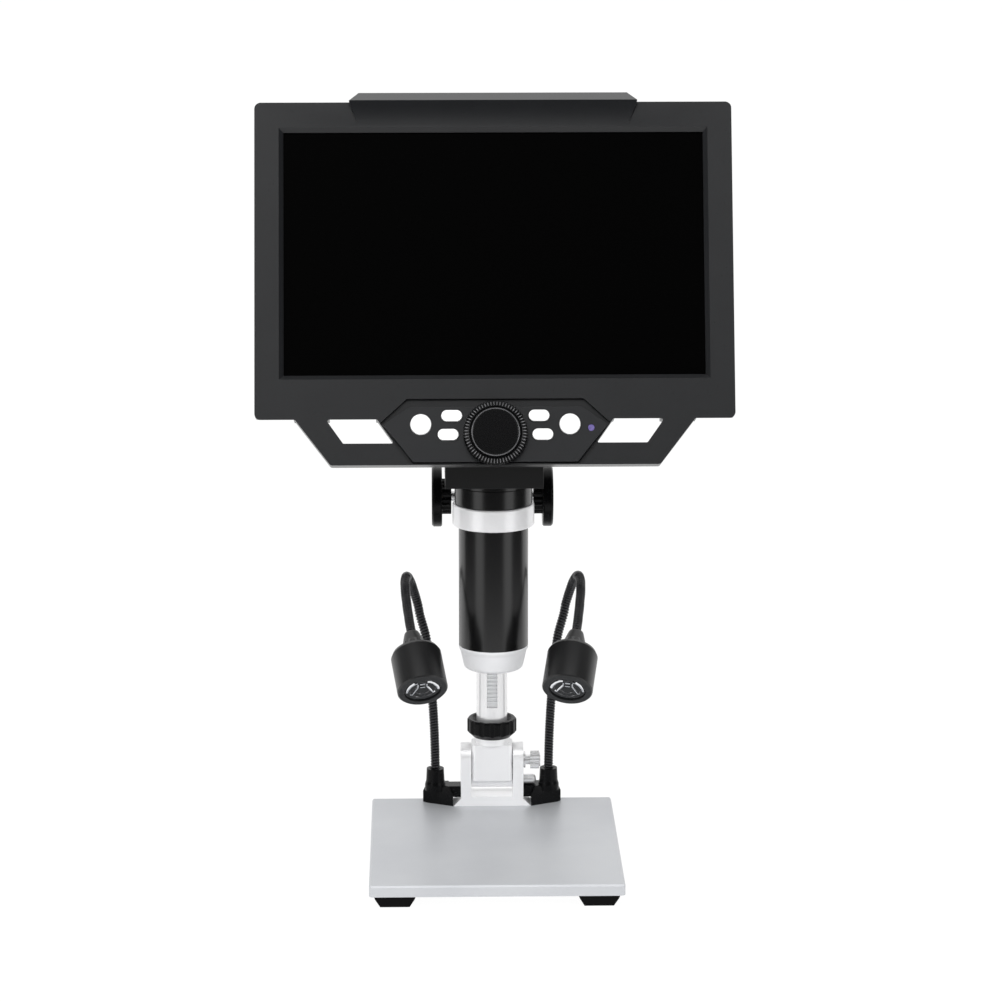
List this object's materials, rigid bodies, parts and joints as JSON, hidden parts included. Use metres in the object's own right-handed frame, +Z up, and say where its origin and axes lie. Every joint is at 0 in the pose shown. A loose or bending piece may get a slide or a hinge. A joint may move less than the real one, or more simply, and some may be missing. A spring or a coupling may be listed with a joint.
{
  "type": "digital microscope",
  "caption": "Upright digital microscope with a tilted flat display over a camera tube, a rack column on a hinged base plate and two gooseneck lamps.",
  "frame": {"origin": "on the desk under the middle of the base plate, at the height of the soles of its feet", "axes": "+Z up, +X to the viewer's right, -Y towards the viewer who faces the display"},
  "size_m": [0.224, 0.1479, 0.3712],
  "materials": {
    "satin_aluminium": "satin brushed",
    "white_metal": "satin white-silver",
    "black_anodised": "satin black",
    "steel": "bright",
    "brass": "turned",
    "black_plastic": "fine-grained matte",
    "charcoal_plastic": "fine-grained matte",
    "grey_plastic": "fine-grained matte",
    "white_plastic": "smooth",
    "ivory_plastic": "smooth",
    "black_rubber": "matte",
    "circuit_board": "lacquered",
    "white_board": "lacquered",
    "optical_glass": "coated",
    "screen_glass": "glossy black",
    "lcd_module": "metal-framed",
    "battery_film": "foil",
    "light_pipe": "clear violet",
    "reflector": "mirror bright"
  },
  "bodies": {
    "base": {"base_plate": "satin_aluminium", "rubber_feet": "black_rubber", "hinge_bracket": "white_metal", "bracket_screws": "steel", "pivot_bolt": "white_metal", "lamp_feet": "black_plastic"},
    "column": {"hinge_block": "white_metal", "column_tube": "white_metal", "height_rack": "steel", "column_cap": "black_plastic"},
    "lock": {"lock_screw": "white_metal"},
    "nut": {"collet_nut": "black_anodised"},
    "carriage": {"carriage_body": "white_metal", "axle_bushes": "brass", "carriage_gibs": "ivory_plastic", "ring_holder": "white_metal", "holder_screws": "steel"},
    "drag": {"drag_screw": "steel"},
    "knobs": {"height_axle": "steel", "left_height_knob": "black_plastic", "right_height_knob": "black_plastic"},
    "head": {"camera_tube": "black_anodised", "tube_collar": "black_anodised", "tube_nut": "black_anodised", "nose_ring": "white_metal", "nose_window": "optical_glass", "ring_light": "white_board", "guide_rods": "steel", "camera_board": "circuit_board", "neck_housing": "black_plastic", "front_shell": "charcoal_plastic", "rear_cover": "charcoal_plastic", "display_glass": "screen_glass", "lcd_panel": "lcd_module", "main_board": "circuit_board", "battery_pack": "battery_film", "cover_screws": "steel", "control_plate": "grey_plastic", "switch_board": "circuit_board", "indicator_lens": "light_pipe", "dial_bush": "brass"},
    "lens": {"lens_barrel": "black_anodised", "lens_glass": "optical_glass"},
    "dial": {"focus_dial": "black_plastic", "focus_shaft": "steel"},
    "left_neck": {"left_gooseneck": "black_plastic"},
    "right_neck": {"right_gooseneck": "black_plastic"},
    "left_lamp": {"left_lamp_head": "black_plastic", "left_lamp_optic": "reflector"},
    "right_lamp": {"right_lamp_head": "black_plastic", "right_lamp_optic": "reflector"},
    "power_key": {"power_button": "white_plastic"},
    "menu_key": {"menu_button": "white_plastic"},
    "up_key": {"up_button": "white_plastic"},
    "down_key": {"down_button": "white_plastic"},
    "snap_key": {"snap_button": "white_plastic"},
    "ok_key": {"ok_button": "white_plastic"}
  },
  "joints": [
    {"name": "column_tilt", "type": "hinge", "parent": "base", "child": "column", "pos_m": [0, 0.06045, 0.0241], "axis": [1, 0, 0], "range_deg": [-15, 18]},
    {"name": "lock_screw_turn", "type": "hinge", "parent": "column", "child": "lock", "pos_m": [0, 0.06045, 0.0341], "axis": [1, 0, 0], "range_deg": [-180, 180]},
    {"name": "collet_nut_turn", "type": "hinge", "parent": "column", "child": "nut", "pos_m": [0, 0.06045, 0.0513], "axis": [0, 0, 1], "range_deg": [-180, 180]},
    {"name": "height_slide", "type": "slide", "parent": "column", "child": "carriage", "axis": [0, 0, 1], "range_m": [-0.055, 0.035]},
    {"name": "height_knob_turn", "type": "hinge", "parent": "carriage", "child": "knobs", "pos_m": [0, 0.04989, 0.1718], "axis": [1, 0, 0], "range_deg": [-526, 826]},
    {"name": "drag_screw_turn", "type": "hinge", "parent": "carriage", "child": "drag", "pos_m": [0, 0.08045, 0.1718], "axis": [0, 1, 0], "range_deg": [-90, 90]},
    {"name": "head_swivel", "type": "hinge", "parent": "carriage", "child": "head", "pos_m": [0, 0.02045, 0.17], "axis": [0, 0, 1], "range_deg": [-45, 45]},
    {"name": "focus_dial_turn", "type": "hinge", "parent": "head", "child": "dial", "pos_m": [0, -0.02698, 0.21926], "axis": [0, -0.9455, 0.3256], "range_deg": [-142, 142]},
    {"name": "lens_slide", "type": "slide", "parent": "head", "child": "lens", "axis": [0, 0, 1], "range_m": [-0.01, 0.01]},
    {"name": "left_neck_swivel", "type": "hinge", "parent": "base", "child": "left_neck", "pos_m": [-0.0283, 0.06045, 0.03], "axis": [0, 0, 1], "range_deg": [-50, 6]},
    {"name": "right_neck_swivel", "type": "hinge", "parent": "base", "child": "right_neck", "pos_m": [0.0283, 0.06045, 0.03], "axis": [0, 0, 1], "range_deg": [-6, 50]},
    {"name": "left_lamp_bend", "type": "hinge", "parent": "left_neck", "child": "left_lamp", "pos_m": [-0.0425, 0.04045, 0.1133], "axis": [1, 0, 0], "range_deg": [-20, 30], "deforming": ["left_gooseneck"]},
    {"name": "right_lamp_bend", "type": "hinge", "parent": "right_neck", "child": "right_lamp", "pos_m": [0.0425, 0.04045, 0.1133], "axis": [1, 0, 0], "range_deg": [-20, 30], "deforming": ["right_gooseneck"]},
    {"name": "power_press", "type": "slide", "parent": "head", "child": "power_key", "axis": [0, 0.9455, -0.3256], "range_m": [0, 0.0008], "stiffness_N_per_m": 900, "springref_m": -0.0004},
    {"name": "menu_press", "type": "slide", "parent": "head", "child": "menu_key", "axis": [0, 0.9455, -0.3256], "range_m": [0, 0.0008], "stiffness_N_per_m": 900, "springref_m": -0.0004},
    {"name": "up_press", "type": "slide", "parent": "head", "child": "up_key", "axis": [0, 0.9455, -0.3256], "range_m": [0, 0.0008], "stiffness_N_per_m": 900, "springref_m": -0.0004},
    {"name": "down_press", "type": "slide", "parent": "head", "child": "down_key", "axis": [0, 0.9455, -0.3256], "range_m": [0, 0.0008], "stiffness_N_per_m": 900, "springref_m": -0.0004},
    {"name": "snap_press", "type": "slide", "parent": "head", "child": "snap_key", "axis": [0, 0.9455, -0.3256], "range_m": [0, 0.0008], "stiffness_N_per_m": 900, "springref_m": -0.0004},
    {"name": "ok_press", "type": "slide", "parent": "head", "child": "ok_key", "axis": [0, 0.9455, -0.3256], "range_m": [0, 0.0008], "stiffness_N_per_m": 900, "springref_m": -0.0004}
  ],
  "couplings": [
    {"joint": "height_knob_turn", "follows": "height_slide", "rad_per_m": -261.8},
    {"joint": "focus_dial_turn", "follows": "lens_slide", "rad_per_m": 247.54}
  ]
}
